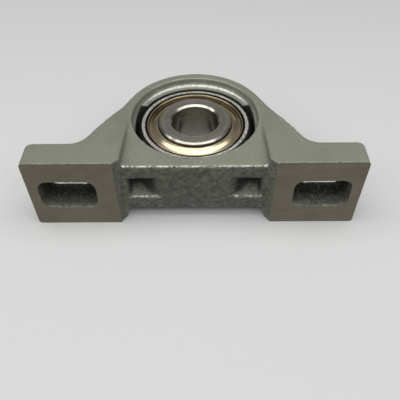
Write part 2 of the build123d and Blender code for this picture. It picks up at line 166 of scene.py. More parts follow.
class CastHousingSettings(bpy.types.PropertyGroup):
    """Sizes of the cast surface of the housing."""

    cell: a_length("Cell", "Edge length of the housing's even mesh", 0.42 * MM, min=0.2 * MM)
    overshoot: a_length(
        "Overshoot", "Stock past the base plane before the pads are milled", 1.6 * MM,
    )
    cast_rounds: a_count("Cast Rounds", "Smoothing passes that round the cast edges", 4)
    slot_rounds: a_count("Slot Rounds", "Smoothing passes that the slots' walls get", 2)
    swell: a_length("Swell", "Depth of the slow waves in the cast skin", 0.10 * MM)
    grain: a_length("Grain", "Depth of the sand grain in the cast skin", 0.05 * MM)
    rough_grain: a_length(
        "Rough Grain", "Depth of the grain in the underside, scoops and slots", 0.30 * MM,
    )
    slot_margin: a_length(
        "Slot Margin", "From a slot's clear box to just outside its walls", 2.3 * MM,
    )
    crisp_angle: a_number(
        "Crisp Angle", "Machined edges sharper than this, in degrees, stay crisp", 38.0,
        min=0, max=180,
    )


class FastenerSettings(bpy.types.PropertyGroup):
    """Sizes of the set screws, the cage rivets and the burnt-on grit."""

    thread_pitch: a_length(
        "Thread Pitch", "Pitch of the set screw thread, 32 to the inch", 25.4 / 32 * MM,
    )
    thread_depth: a_length("Thread Depth", "From the thread's crest to its root", 0.40 * MM)
    socket_across: a_length("Socket", "Hexagon socket across its flats", 2.4 * MM)
    socket_depth: a_length("Socket Depth", "Depth of the hexagon socket", 2.0 * MM)
    point_radius: a_length("Point Radius", "Radius of the screw's cup point", 1.3 * MM)
    rivet_head: a_length("Rivet Head", "Radius of a cage rivet's domed head", 1.0 * MM)
    rivet_shank: a_length("Rivet Shank", "Radius of a cage rivet's shank", 0.6 * MM)
    rivet_dome: a_length("Rivet Dome", "Height of a rivet's head over the cage sheet", 0.4 * MM)
    grit_size: a_length("Grit Size", "Radius of the largest burnt-on sand grains", 0.13 * MM)
    grit_density: a_number(
        "Grit Density", "Sand grains on a square metre of rough skin", 900000.0, min=0,
    )


class FinishSettings(bpy.types.PropertyGroup):
    """Colours of the finishes."""

    paint: a_colour("Paint", "Grey-green paint of the casting", (0.190, 0.198, 0.158))
    # Also the colour of the painted highlight on the boss edge and scoop rim, and of the painted
    # glints.
    worn_paint: a_colour(
        "Worn Paint", "Rubbed paint and bare iron along the edges", (0.56, 0.56, 0.52),
    )
    # Painted shade: the casting's concave corners darkened towards this colour.
    corner_shade: a_colour("Grime", "Dirt in the casting's corners", (0.055, 0.056, 0.047))
    # Black of bare iron in the slots, scoops, seat and notches, and painted shade where they lie
    # deep.
    soot: a_colour("Soot", "Black of the hollows, the seat and its notches", (0.012, 0.012, 0.010))
    milled_iron: a_colour("Milled Iron", "Face-milled iron of the base pads", (0.29, 0.262, 0.20))
    ring_steel: a_colour("Ring Steel", "Ground steel of the inner ring", (0.54, 0.515, 0.455))
    ring_face: a_colour("Ring Face", "Coarse end face of the outer ring", (0.72, 0.70, 0.66))
    # Painted shade: the outer ring's chamfer and outside drawn dark.
    ring_seat_shade: a_colour("Ring Seat", "Dull outside of the outer ring", (0.10, 0.098, 0.09))
    yellow_zinc: a_colour(
        "Yellow Zinc", "Yellow-passivated zinc of the shields", (0.60, 0.51, 0.35),
    )
    # Painted shade: the groove round a shield drawn near black.
    groove_shade: a_colour("Grease", "Black grease in the groove round a shield", (0.006, 0.005, 0.004))
    ball_steel: a_colour("Ball Steel", "Polished steel of the balls", (0.74, 0.74, 0.75))
    cage_steel: a_colour("Cage Steel", "Pressed steel of the cage", (0.50, 0.50, 0.49))
    seal_rubber: a_colour("Seal Rubber", "Black rubber of the lip seals", (0.022, 0.022, 0.023))
    black_oxide: a_colour(
        "Black Oxide", "Oiled black finish of the set screws", (0.045, 0.044, 0.045),
    )


class StudioSettings(bpy.types.PropertyGroup):
    """Camera, floor and lamps."""

    camera_place: a_place(
        "Camera Place", "Where the camera stands", (1.90 * MM, -131.57 * MM, 112.45 * MM),
    )
    camera_heading: a_number(
        "Heading", "Turn of the view from +Y towards +X", -0.0032959, subtype="ANGLE",
    )
    camera_dip: a_number(
        "Dip", "Angle of the view below the horizon", 0.8369488, subtype="ANGLE",
    )
    camera_roll: a_number(
        "Roll", "Turn of the camera about its own view", -0.0079034, subtype="ANGLE",
    )
    camera_lens: a_number(
        "Lens", "Focal length for a 36 mm sensor, in millimetres", 43.96, min=1,
    )
    floor_seen: a_colour("Floor Seen", "Pale colour that the floor shows", (0.62, 0.62, 0.62))
    floor_bounce: a_colour(
        "Floor Bounce", "Colour with which the floor lights the object", (0.13, 0.13, 0.13),
    )
    floor_mirrored: a_number(
        "Floor Mirrored", "How bright the floor is in bare metal", 0.62, min=0,
    )
    room_light: a_number(
        "Room Light", "Strength of the even light from all round", 0.30, min=0,
    )
    front_light: a_number(
        "Front Light", "Share of the room light that comes from the front", 0.20, min=0, max=1,
    )
    overhead_place: a_place(
        "Overhead Place", "Where the softbox over the object hangs", (-0.12, 0.0, 0.45),
    )
    overhead_size: a_place(
        "Overhead Size", "Width and length of the softbox over the object", (1.34, 0.26),
    )
    overhead_power: a_number(
        "Overhead Power", "Power of the softbox over the object, in watts", 2.56, min=0,
    )
    front_place: a_place(
        "Front Place", "Where the strip over the camera hangs", (0.0, -0.29, 0.41),
    )
    front_size: a_place("Front Size", "Width and length of the strip over the camera", (1.10, 0.20))
    front_power: a_number(
        "Front Power", "Power of the strip over the camera, in watts", 1.5, min=0,
    )


# ------------------------------------------------------------------ node wiring
class Wiring:
    """Adds and joins the nodes of one tree."""

    def __init__(self, tree):
        self.tree = tree

    def feed(self, socket, source):
        """Links a node or a socket to the socket, or sets its value; None does neither."""
        if isinstance(source, bpy.types.Node):
            source = source.outputs[0]
        if isinstance(source, bpy.types.NodeSocket):
            self.tree.links.new(source, socket)
            return
        if isinstance(source, Color):
            source = tuple(source)
        if isinstance(source, tuple) and socket.type == "RGBA":
            source = (*source, 1.0)
        if source is not None:
            socket.default_value = source

    def gather(self, socket, *sources):
        """Links several nodes to one socket that takes many."""
        for source in sources:
            self.tree.links.new(source.outputs[0], socket)

    def add(self, kind, *sources, **named):
        """A node with its first inputs in order, and settings and other inputs by name.

        An input's name starts with a capital and has _ for each space.
        """
        node = self.tree.nodes.new(kind)
        inputs = {key: named.pop(key) for key in list(named) if key[0].isupper()}
        for key, value in named.items():
            setattr(node, key, value)
        for number, source in enumerate(sources):
            self.feed(node.inputs[number], source)
        for key, source in inputs.items():
            self.feed(node.inputs[key.replace("_", " ")], source)
        return node

    def math(self, operation, *sources, clamp=False):
        return self.add("ShaderNodeMath", *sources, operation=operation, use_clamp=clamp).outputs[0]

    def times(self, product, *others, clamp=False):
        for other in others:
            product = self.math("MULTIPLY", product, other, clamp=clamp)
        return product

    def plus(self, first, second, clamp=False):
        return self.math("ADD", first, second, clamp=clamp)

    def minus(self, first, second, clamp=False):
        return self.math("SUBTRACT", first, second, clamp=clamp)

    def over(self, first, second):
        return self.math("DIVIDE", first, second)

    def vector(self, operation, *sources):
        return self.add("ShaderNodeVectorMath", *sources, operation=operation)

    def size_of(self, vector):
        return self.vector("LENGTH", vector).outputs["Value"]

    def ramp(self, value, low, high, low_to=0.0, high_to=1.0):
        """A smooth step from low to high."""
        node = self.add("ShaderNodeMapRange", value, low, high, low_to, high_to)
        node.interpolation_type = "SMOOTHSTEP"
        return node.outputs[0]


class Finish(Wiring):
    """A material made of nodes, ending in one Principled shader."""

    def __init__(self, name):
        self.material = bpy.data.materials.new(name)
        self.material.use_nodes = True
        self.material.node_tree.nodes.clear()
        super().__init__(self.material.node_tree)
        self.place = self.add("ShaderNodeTexCoord").outputs["Object"]

    def attribute(self, name):
        return self.add("ShaderNodeAttribute", attribute_name=name).outputs["Fac"]

    def grain(self, scale, detail=2.0, roughness=0.5, distortion=0.0, at=None):
        """Noise from 0 to 1 with so many bumps in a metre."""
        place = self.place if at is None else at
        return self.add(
            "ShaderNodeTexNoise", place, Scale=scale, Detail=detail, Roughness=roughness,
            Distortion=distortion,
        ).outputs["Fac"]

    def spread(self, grain, low_to, high_to):
        """Noise taken from the range that it mostly keeps to into the range given."""
        return self.ramp(grain, 0.3, 0.7, low_to, high_to)

    def band(self, value, ends, soft):
        """1 between the two ends, with soft sides."""
        low, high = ends
        rise = self.ramp(value, low - soft, low + soft)
        fall = self.ramp(value, high - soft, high + soft, 1.0, 0.0)
        return self.times(rise, fall)

    def turned_place(self):
        """Distance from the shaft axis, height either way, and distance and Z as a vector."""
        axes = self.add("ShaderNodeSeparateXYZ", self.place)
        radius = self.size_of(self.add("ShaderNodeCombineXYZ", axes.outputs[0], axes.outputs[1]))
        height = self.math("ABSOLUTE", axes.outputs[2])
        return radius, height, self.add("ShaderNodeCombineXYZ", radius, axes.outputs[2])

    def blend(self, share, first, second):
        """Two colours mixed by a share from 0 to 1."""
        skipped = [None] * 5
        mix = self.add("ShaderNodeMix", share, *skipped, first, second, data_type="RGBA")
        return mix.outputs[2]

    def shaded(self, colour, shade):
        """A colour made darker or lighter by a factor."""
        return self.add("ShaderNodeVectorMath", colour, operation="SCALE", Scale=shade).outputs[0]

    def bump(self, height, distance, normal=None, strength=1.0):
        return self.add(
            "ShaderNodeBump", Height=height, Distance=distance, Normal=normal, Strength=strength,
        ).outputs[0]

    def close(self, colour, roughness, normal=None, tangent=None, **others):
        """Ends the material in a shader whose other inputs go by name, and returns it."""
        shader = self.add(
            "ShaderNodeBsdfPrincipled", colour, Roughness=roughness, Normal=normal,
            Tangent=tangent, **others,
        )
        self.add("ShaderNodeOutputMaterial", shader)
        return self.material


# ------------------------------------------------------------------ finishes
def cast_paint_finish(colours):
    """Satin grey-green paint over sand-cast iron, rubbed bare on its edges, with painted highlights
    and glints, and painted shade in its corners, slots and scoops.
    """
    w = Finish("cast_paint")
    rough_skin = w.attribute("rough_skin")
    clouds = w.grain(55, 3, 0.55)
    speckle = w.grain(1500, 2, 0.6)
    lumps = w.grain(750, 3, 0.6)
    blotches = w.ramp(w.grain(620, 3, 0.6), 0.32, 0.68, -0.43, 0.07)
    shade = w.times(
        w.spread(clouds, 0.93, 1.06),
        w.ramp(speckle, 0.25, 0.75, 0.90, 1.10),
        w.plus(1.0, w.times(blotches, rough_skin)),
    )
    colour = w.shaded(colours.paint, shade)
    # Painted shade: the paint darkened in blotches in the concave corners.
    corner_shade = w.times(w.attribute("hollow"), w.ramp(clouds, 0.2, 0.8, 0.5, 1.0), clamp=True)
    colour = w.blend(corner_shade, colour, colours.corner_shade)
    # Sooty black iron with painted shade, deep in the slots and under the scoops' roofs.
    soot = w.times(w.attribute("soot"), w.ramp(speckle, 0.35, 0.62, 1.0, 0.9), clamp=True)
    colour = w.blend(soot, colour, colours.soot)
    # Rubbed bare iron along the edges, and a painted highlight on the boss edge and a scoop rim.
    rub_and_highlight = w.times(w.attribute("worn"), w.ramp(lumps, 0.38, 0.60), clamp=True)
    colour = w.blend(rub_and_highlight, colour, colours.worn_paint)
    # Painted glints: pale specks on the rough skin, among pale flecks of sand.
    painted_glint = w.times(w.ramp(w.grain(2300, 2, 0.6), 0.60, 0.70), rough_skin, 0.55)
    fleck_and_glint = w.math("MAXIMUM", w.ramp(w.grain(900, 1, 0.5), 0.765, 0.785), painted_glint)
    colour = w.blend(w.times(fleck_and_glint, 0.7), colour, colours.worn_paint)
    fine = w.bump(w.plus(w.times(lumps, 0.6), w.times(speckle, 0.4)), 0.06 * MM)
    deep = w.bump(w.grain(850, 4, 0.7), 0.55 * MM, fine, rough_skin)
    roughness = w.minus(w.spread(clouds, 0.40, 0.52), w.times(rub_and_highlight, 0.12))
    roughness = w.plus(roughness, w.times(soot, 0.45), clamp=True)
    return w.close(colour, roughness, deep, Metallic=w.times(rub_and_highlight, 0.8))


def milled_pad_finish(colours):
    """Face-milled cast iron: arcs of cutter marks and a dull oily brown."""
    w = Finish("milled_pad")
    cutter = (0.06, 0.0, -0.15)
    sweep = w.size_of(w.vector("SUBTRACT", w.place, cutter))
    sweep = w.plus(sweep, w.times(w.grain(90, 2), 0.4 * MM))
    line = w.add("ShaderNodeCombineXYZ", sweep)
    marks = w.grain(3400, 3, 0.7, at=line)
    bands = w.grain(420, 2, 0.6, at=line)
    pores = w.ramp(w.grain(2300, 1, 0.5), 0.70, 0.78)
    shade = w.times(
        w.spread(marks, 0.86, 1.14),
        w.spread(bands, 0.90, 1.10),
        w.spread(w.grain(70, 3, 0.6), 0.92, 1.08),
    )
    colour = w.shaded(colours.milled_iron, shade)
    colour = w.blend(w.times(pores, 0.5), colour, (0.03, 0.028, 0.024))
    return w.close(colour, w.spread(bands, 0.42, 0.55), w.bump(marks, 0.012 * MM), Metallic=0.75)


def counterbore_finish(colours):
    """The turned counterbore under its paint, and the bare seat and notches below it, black with
    painted shade.
    """
    w = Finish("counterbore_paint")
    radius, height, along = w.turned_place()
    marks = w.grain(4200, 3, 0.7, at=along)
    speckle = w.grain(2100, 3, 0.7)
    shade = w.times(
        w.spread(marks, 0.92, 1.08),
        w.spread(speckle, 0.88, 1.12),
        w.spread(w.grain(210, 3, 0.6), 0.88, 1.1),
    )
    # Below the paint line the seat and notches turn black: bare iron, with painted shade where they
    # lie deep.
    painted = w.times(w.ramp(height, *SEAT_HEIGHT), w.ramp(radius, *SEAT_RADIUS))
    colour = w.blend(painted, colours.soot, colours.paint)
    cove = w.band(height, COVE_HEIGHT, 0.25 * MM)
    lip = w.ramp(height, *LIP_HEIGHT, 0.0, 0.6)
    bare = w.times(w.math("MAXIMUM", cove, lip), w.ramp(speckle, 0.34, 0.54, 0.35, 1.0))
    colour = w.shaded(w.blend(bare, colour, colours.worn_paint), shade)
    normal = w.bump(w.plus(marks, speckle), 0.02 * MM)
    return w.close(colour, w.spread(speckle, 0.30, 0.46), normal, Metallic=bare)


def turned_steel_finish(
    name, colour, roughness, groove=0.0015 * MM, stretch=0.7, stain=0.1, bands=(),
):
    """Steel turned or ground about the shaft axis, with marks that run round it.

    Each band is a pair of radii, its soft edge, its colour and its share.
    """
    w = Finish(name)
    radius, _, along = w.turned_place()
    marks = w.grain(5200, 3, 0.7, at=along)
    shade = w.times(
        w.spread(marks, 0.93, 1.07),
        w.spread(w.grain(900, 2, 0.6, at=along), 0.94, 1.05),
        w.ramp(w.grain(160, 3, 0.6), 0.35, 0.7, 1.0 - stain, 1.0 + stain / 2),
    )
    shown = w.shaded(colour, shade)
    rough = w.spread(w.grain(420, 2), roughness * 0.85, roughness * 1.15)
    for ends, soft, tint, share in bands:
        mask = w.times(w.band(radius, ends, soft), share)
        shown = w.blend(mask, shown, tint)
        rough = w.plus(rough, w.times(mask, 0.25), clamp=True)
    tangent = w.add("ShaderNodeTangent", direction_type="RADIAL", axis="Z")
    return w.close(
        shown, rough, w.bump(marks, groove), tangent,
        Metallic=1.0, Anisotropic=stretch, Anisotropic_Rotation=0.25,
    )


def yellow_zinc_finish(colours):
    """Yellow-passivated zinc, with painted shade in the groove round it and in the bead's fold."""
    # Painted shade: the groove between the shield and the ring near black.
    groove_shade = (SHIELD_GROOVE_RADIUS, 0.05 * MM, colours.groove_shade, 1.0)
    # Painted shade: the bead's fold darkened, dimming its highlight.
    fold = (SHIELD_FOLD_RADIUS, 0.04 * MM, (0.03, 0.025, 0.016), 0.93)
    return turned_steel_finish(
        "yellow_zinc", colours.yellow_zinc, 0.20,
        groove=0.0004 * MM, stretch=0.1, stain=0.2, bands=(groove_shade, fold),
    )


def outer_ring_finish(colours):
    """The outer ring: a coarse bright face, and a dark seat and chamfer outside it in painted
    shade.
    """
    w = Finish("outer_ring_steel")
    radius, height, along = w.turned_place()
    pits = w.grain(2600, 3, 0.7)
    face = w.times(w.band(radius, RING_FACE_RADIUS, 0.12 * MM), w.ramp(height, *RING_FACE_HEIGHT))
    shade = w.times(
        w.spread(w.grain(4200, 3, 0.7, at=along), 0.90, 1.08),
        w.spread(w.grain(240, 3, 0.6), 0.85, 1.08),
        w.ramp(pits, 0.38, 0.60, 0.45, 1.35),
    )
    # Outside the face the ring is dark: painted shade on its chamfer.
    colour = w.shaded(w.blend(face, colours.ring_seat_shade, colours.ring_face), shade)
    rough = w.plus(w.times(face, 0.22), 0.30)
    return w.close(colour, rough, w.bump(pits, 0.02 * MM), Metallic=0.95)


def grit_finish(colours):
    """Glassy sand grains, dark and pale mixed."""
    w = Finish("burnt_on_grit")
    pale = w.ramp(w.grain(1700, 2), 0.42, 0.6)
    colour = w.blend(pale, (0.03, 0.03, 0.027), colours.worn_paint)
    return w.close(colour, w.spread(w.grain(3000, 1), 0.2, 0.4))


def rubber_finish(colours):
    """Moulded black rubber with a fine dull skin."""
    w = Finish("seal_rubber")
    skin = w.grain(2600, 3, 0.6)
    dust = w.ramp(w.grain(240, 3, 0.6), 0.55, 0.75, 0.0, 0.25)
    colour = w.blend(dust, colours.seal_rubber, (0.09, 0.085, 0.075))
    return w.close(colour, w.spread(skin, 0.55, 0.7), w.bump(skin, 0.01 * MM))


def ball_finish(colours):
    """Lapped bearing balls under a thin film of lubricant."""
    w = Finish("lapped_ball_steel")
    film = w.grain(380, 3, 0.6, 0.4)
    colour = w.blend(w.ramp(film, 0.45, 0.75, 0.0, 0.5), colours.ball_steel, (0.55, 0.50, 0.40))
    return w.close(colour, w.ramp(film, 0.35, 0.7, 0.06, 0.2), Metallic=1.0)


def pressed_steel_finish(colours):
    """Pressed cage sheet with faint drawing marks."""
    w = Finish("pressed_cage_steel")
    drawn = w.add("ShaderNodeMapping", w.place, Scale=(1.0, 1.0, 0.12))
    marks = w.grain(2800, 3, 0.65, at=drawn)
    clouds = w.grain(300, 3, 0.6)
    colour = w.shaded(colours.cage_steel, w.spread(clouds, 0.85, 1.08))
    return w.close(colour, w.spread(clouds, 0.28, 0.42), w.bump(marks, 0.004 * MM), Metallic=1.0)


def black_oxide_finish(colours):
    """Oiled black oxide, rubbed grey in patches."""
    w = Finish("black_oxide")
    clouds = w.grain(900, 3, 0.6)
    rubbed = w.ramp(clouds, 0.55, 0.8, 0.0, 0.5)
    colour = w.blend(rubbed, colours.black_oxide, (0.16, 0.155, 0.15))
    return w.close(colour, w.spread(clouds, 0.28, 0.42), w.bump(clouds, 0.006 * MM), Metallic=0.6)


def dress(node, finish):
    """Gives a carried-over node its finish."""
    for slot in NODES[node].material_slots:
        slot.material = finish


# ------------------------------------------------------------------ mesh tools
def new_object(name, data):
    thing = bpy.data.objects.new(name, data)
    bpy.context.scene.collection.objects.link(thing)
    return thing


def mesh_from(body, name):
    """The bmesh as a new mesh, with its normals outwards."""
    bmesh.ops.recalc_face_normals(body, faces=body.faces)
    mesh = bpy.data.meshes.new(name)
    body.to_mesh(mesh)
    body.free()
    return mesh


def bake(piece):
    """Puts the result of the piece's modifiers in its mesh."""
    graph = bpy.context.evaluated_depsgraph_get()
    mesh = bpy.data.meshes.new_from_object(piece.evaluated_get(graph))
    piece.modifiers.clear()
    old, piece.data = piece.data, mesh
    bpy.data.meshes.remove(old)
    mesh.name = piece.name


def reshape(piece, kind, **settings):
    """Puts the piece's mesh through one modifier."""
    modifier = piece.modifiers.new("reshape", kind)
    for key, value in settings.items():
        setattr(modifier, key, value)
    bake(piece)


def smooth_faces(mesh):
    mesh.polygons.foreach_set("use_smooth", np.ones(len(mesh.polygons), dtype=bool))


def read(items, name, width, kind=np.float64):
    """One property of all vertices or edges, a row each."""
    values = np.empty(len(items) * width, dtype=kind)
    items.foreach_get(name, values)
    return values.reshape(-1, width)


def store(mesh, name, values):
    layer = mesh.attributes.new(name, "FLOAT", "POINT")
    layer.data.foreach_set("value", values.astype(np.float32))


def neighbour_mean(values, edges):
    """For each vertex, the mean of the values at its neighbours."""
    count = len(values)
    ends = np.concatenate([edges[:, 0], edges[:, 1]])
    others = np.concatenate([edges[:, 1], edges[:, 0]])
    share = np.maximum(np.bincount(ends, minlength=count), 1)
    if values.ndim == 1:
        return np.bincount(ends, values[others], count) / share
    columns = [np.bincount(ends, column[others], count) / share for column in values.T]
    return np.stack(columns, axis=1)


def softened(values, edges, rounds):
    for _ in range(rounds):
        values = neighbour_mean(values, edges)
    return values


def bend_of(points, normals, edges):
    """Curvature at each vertex: above 0 on outside edges, below 0 in corners."""
    mean = neighbour_mean(points, edges)
    reach = np.linalg.norm(points[edges[:, 0]] - points[edges[:, 1]], axis=1).mean()
    return np.einsum("ij,ij->i", points - mean, normals) / reach


def rise(value, low, high):
    """0 below low, 1 above high, and a smooth step between them."""
    share = np.clip((value - low) / (high - low), 0, 1)
    return share * share * (3 - 2 * share)


def fade(value, low, high):
    """1 below low, 0 above high, and a smooth step between them."""
    return 1 - rise(value, low, high)


def between(value, ends):
    return (value > ends[0]) & (value < ends[1])


# ------------------------------------------------------------------ housing
def merged_housing():
    """The housing node's own mesh with its loose triangles joined."""
    source = bmesh.new()
    source.from_mesh(NODES["housing"].data)
    bmesh.ops.remove_doubles(source, verts=source.verts, dist=0.002 * MM)
    return source


def machined_faces(source):
    """The faces turned and milled inside the bore."""
    near = 0.005 * MM
    crown = [v.co for v in source.verts if v.co.y > 0.8 * HOUSING_HIGH.y]
    level = max(co.z for co in crown)
    reach = near + min(co.xy.length for co in crown if co.z > level - near)
    return [f for f in source.faces if all(v.co.xy.length < reach for v in f.verts)]


def new_verts(grown):
    return [item for item in grown["geom"] if isinstance(item, bmesh.types.BMVert)]


def cap_rims(body):
    """Closes the open rim on each side of the housing."""
    for side in (1, -1):
        rim = [e for e in body.edges if e.is_boundary and side * e.verts[0].co.z > 0]
        bmesh.ops.triangle_fill(body, use_beauty=True, edges=rim)


def cast_blank(sizes):
    """The housing before machining: a solid boss, and stock left on the pads."""
    blank = merged_housing()
    bmesh.ops.delete(blank, geom=machined_faces(blank), context="FACES")
    cap_rims(blank)
    near = 0.01 * MM
    pads = [f for f in blank.faces if all(abs(v.co.y - BASE_LEVEL) < near for v in f.verts)]
    gap_edge = min(abs(v.co.x) for f in pads for v in f.verts)
    for vert in new_verts(bmesh.ops.extrude_face_region(blank, geom=pads)):
        if abs(vert.co.x) < gap_edge + near:
            vert.co.x += 0.8 * sizes.overshoot * (1 if vert.co.x > 0 else -1)
        vert.co.y -= sizes.overshoot
    bmesh.ops.delete(blank, geom=pads, context="FACES")
    return mesh_from(blank, "cast_housing")


def bore_tool(sizes, finish):
    """The space that machining takes out: the seat, its notches and the counterbores."""
    tool = merged_housing()
    kept = set(machined_faces(tool))
    bmesh.ops.delete(tool, geom=[f for f in tool.faces if f not in kept], context="FACES")
    rims = [edge for edge in tool.edges if edge.is_boundary]
    for vert in new_verts(bmesh.ops.extrude_edge_only(tool, edges=rims)):
        vert.co.z += sizes.overshoot * (1 if vert.co.z > 0 else -1)
    cap_rims(tool)
    mesh = mesh_from(tool, "bore_tool")
    mesh.materials.append(finish)
    return new_object("bore_tool", mesh)


def cut_bore(piece, tool):
    """Takes the tool out of the casting, leaving the tool's finish on the cut faces."""
    reshape(
        piece, "BOOLEAN", operation="DIFFERENCE", solver="EXACT", material_mode="TRANSFER",
        object=tool,
    )
    bpy.data.objects.remove(tool, do_unlink=True)


def slot_share(points, margin):
    """1 round the walls of the two slots, 0 elsewhere."""
    near = np.zeros(len(points))
    for low, high in SLOT_BOXES:
        beside = between(points[:, 0], (low[0] - margin, high[0] + margin))
        level = between(points[:, 2], (low[2] - margin, high[2] + margin))
        near = np.maximum(near, beside & level & (points[:, 1] < high[1]))
    return near


class Skin:
    """The points of the casting's skin, and the share of each zone at each of them."""

    def __init__(self, points, normals, slot_margin):
        self.normals = normals
        self.side = np.sign(points[:, 0])
        self.across = np.abs(points[:, 0])
        self.depth = points[:, 1] - BASE_LEVEL
        self.level = points[:, 2]
        wall = np.abs(normals[:, 1]) < WALL_LEAN
        self.slot_wall = slot_share(points, slot_margin) * wall

    def rough(self):
        """1 in the underside, its scoops and the slots, 0 on the smooth cast skin."""
        down = rise(-self.normals[:, 1], *UNDERSIDE_LEAN)
        low = fade(self.depth, *UNDERSIDE_DEPTH)
        middle = fade(self.across, *UNDERSIDE_ACROSS)
        return np.maximum(down * low * middle, self.slot_wall)

    def soot(self):
        """1 deep in the slots and under the roofs of the scoops: black iron, with painted shade
        that grows with depth and on faces that look down.
        """
        slot = self.slot_wall * rise(self.depth, *SLOT_SOOT_AND_SHADE_DEPTH)
        scoop = rise(self.depth, *SCOOP_SOOT_AND_SHADE_STARTS) * fade(self.depth, *SCOOP_SOOT_AND_SHADE_ENDS)
        scoop = scoop * (self.across < SCOOP_ACROSS[1]) * (np.abs(self.level) < SCOOP_SOOT_AND_SHADE_LEVEL)
        return np.maximum(slot, scoop * rise(-self.normals[:, 2], *ROOF_LEAN))

    def pocketed(self):
        """1 on the slot walls and in the scoops, where sand burns on to the iron."""
        scoop = between(self.across, SCOOP_ACROSS) & (np.abs(self.level) < SCOOP_LEVEL)
        scoop = scoop & (self.depth < SCOOP_TOP)
        pocket = (self.slot_wall > 0) | scoop
        return (pocket & (self.depth > SAND_FREE_DEPTH)).astype(float)

    def rubbed_and_highlit(self):
        """The boss's lower edges and the scoops' lower rims: rubbed bare iron, and a painted
        highlight on the part of each edge that catches the light.
        """
        boss = (self.across < BOSS_ACROSS) & (np.abs(self.level) > BOSS_EDGE_LEVEL)
        boss = boss & (self.depth < BOSS_EDGE_DEPTH) & (self.normals[:, 1] < -0.2)
        lean = np.abs(self.normals[:, 2])
        edge = rise(lean, *BOSS_EDGE_STARTS) * fade(lean, *BOSS_EDGE_ENDS) * boss
        rim = between(self.across, RIM_ACROSS) & between(self.depth, RIM_DEPTH)
        rim = rim * fade(np.abs(self.level - RIM_LEVEL), *RIM_FADE)
        return EDGE_RUB_AND_HIGHLIGHT * np.maximum(edge, RIM_RUB_AND_HIGHLIGHT * rim)

    def by_pad(self):
        """1 at the sharp edges round the milled pads, 0 where a face turns to the middle."""
        return fade(np.abs(self.depth), *PAD_EDGE_FADE) * (self.normals[:, 0] * self.side > -0.5)


def skin_depth(points, rough, sizes):
    """How far each point of the cast skin lies under the true surface."""
    swells, grains, fine_grains = 110, 620, 1150  # bumps in a metre
    grain = sizes.grain + (sizes.rough_grain - sizes.grain) * rough
    depth = np.empty(len(points))
    for number, point in enumerate(points):
        place = Vector(point)
        swell = noise.noise(place * swells)
        fine = noise.noise(place * grains) * 0.6
        fine += noise.noise(place * fine_grains + Vector((7, 3, 5))) * 0.4
        depth[number] = sizes.swell * (0.5 + 0.5 * swell) + grain[number] * (0.5 + 0.8 * fine)
    return depth


def mill_pads(mesh):
    """Cuts the stock off at the base plane and closes the cut with flat pads."""
    body = bmesh.new()
    body.from_mesh(mesh)
    everything = body.verts[:] + body.edges[:] + body.faces[:]
    cut = bmesh.ops.bisect_plane(
        body, geom=everything, dist=1e-7, plane_co=(0, BASE_LEVEL, 0),
        plane_no=(0, 1, 0), clear_inner=True,
    )["geom_cut"]
    outline = [g for g in cut if isinstance(g, bmesh.types.BMEdge)]
    for edge in outline:
        edge.smooth = False
    filled = bmesh.ops.triangle_fill(body, use_beauty=True, edges=outline, normal=(0, -1, 0))
    for face in filled["geom"]:
        if isinstance(face, bmesh.types.BMFace):
            face.material_index = 1
            face.smooth = False
            if face.normal.y > 0:
                face.normal_flip()
    body.to_mesh(mesh)
    body.free()


def make_cast_housing(sizes, colours):
    """The casting: even quads, rounded edges, a grained skin, a cut bore and milled pads."""
    piece = new_object("cast_housing", cast_blank(sizes))
    reshape(piece, "REMESH", mode="VOXEL", voxel_size=sizes.cell)
    mesh = piece.data
    points = read(mesh.vertices, "co", 3)
    edges = read(mesh.edges, "vertices", 2, np.int64)
    slot_walls = slot_share(points, sizes.slot_margin)
    full_pull = 0.6
    for turn in range(max(sizes.cast_rounds, sizes.slot_rounds)):
        pull = np.where(turn < sizes.slot_rounds, full_pull, full_pull * (1 - slot_walls))
        points += (neighbour_mean(points, edges) - points) * pull[:, None]
    mesh.vertices.foreach_set("co", points.ravel())
    mesh.update()
    normals = read(mesh.vertices, "normal", 3)
    bend = softened(bend_of(points, normals, edges), edges, 2)
    rough = Skin(points, normals, sizes.slot_margin).rough()
    points -= normals * skin_depth(points, rough, sizes)[:, None]
    low = np.array([HOUSING_LOW.x, BASE_LEVEL - 1, HOUSING_LOW.z])
    points = np.clip(points, low, np.array(HOUSING_HIGH))
    mesh.vertices.foreach_set("co", points.ravel())
    skin = Skin(points, normals, sizes.slot_margin)
    # Wear on the bends and round the pads, and rubbed wear with a painted highlight on the boss
    # edge and a scoop rim.
    worn = [rise(bend, *WORN_BEND), skin.by_pad(), skin.rubbed_and_highlit()]
    store(mesh, "worn", np.maximum.reduce(worn))
    # Painted shade: hollow is 1 in the concave corners, where the paint is darkened.
    store(mesh, "hollow", rise(-bend, *HOLLOW_BEND))
    store(mesh, "rough_skin", softened(rough, edges, 3))
    store(mesh, "pocketed", skin.pocketed())
    # Sooty black with painted shade, deep in the slots and under the scoops' roofs.
    store(mesh, "soot", softened(skin.soot(), edges, 2))
    smooth_faces(mesh)
    mesh.materials.append(cast_paint_finish(colours))
    mesh.materials.append(milled_pad_finish(colours))
    cut_bore(piece, bore_tool(sizes, counterbore_finish(colours)))
    piece.data.set_sharp_from_angle(angle=radians(sizes.crisp_angle))
    mill_pads(piece.data)
    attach(piece, "housing")
    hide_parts("housing")
    print("cast_housing", len(piece.data.polygons), "faces")
    return piece


# ------------------------------------------------------------------ turned and grown pieces
def settle(piece, body, slot, *replaced, crease=radians(35)):
    """Shades the piece smooth between its creases, and hands it to its body."""
    mesh = piece.data
    smooth_faces(mesh)
    mesh.set_sharp_from_angle(angle=crease)
    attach(piece, body)
    if replaced:
        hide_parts(*replaced)
    print(piece.name, len(mesh.polygons), "faces")


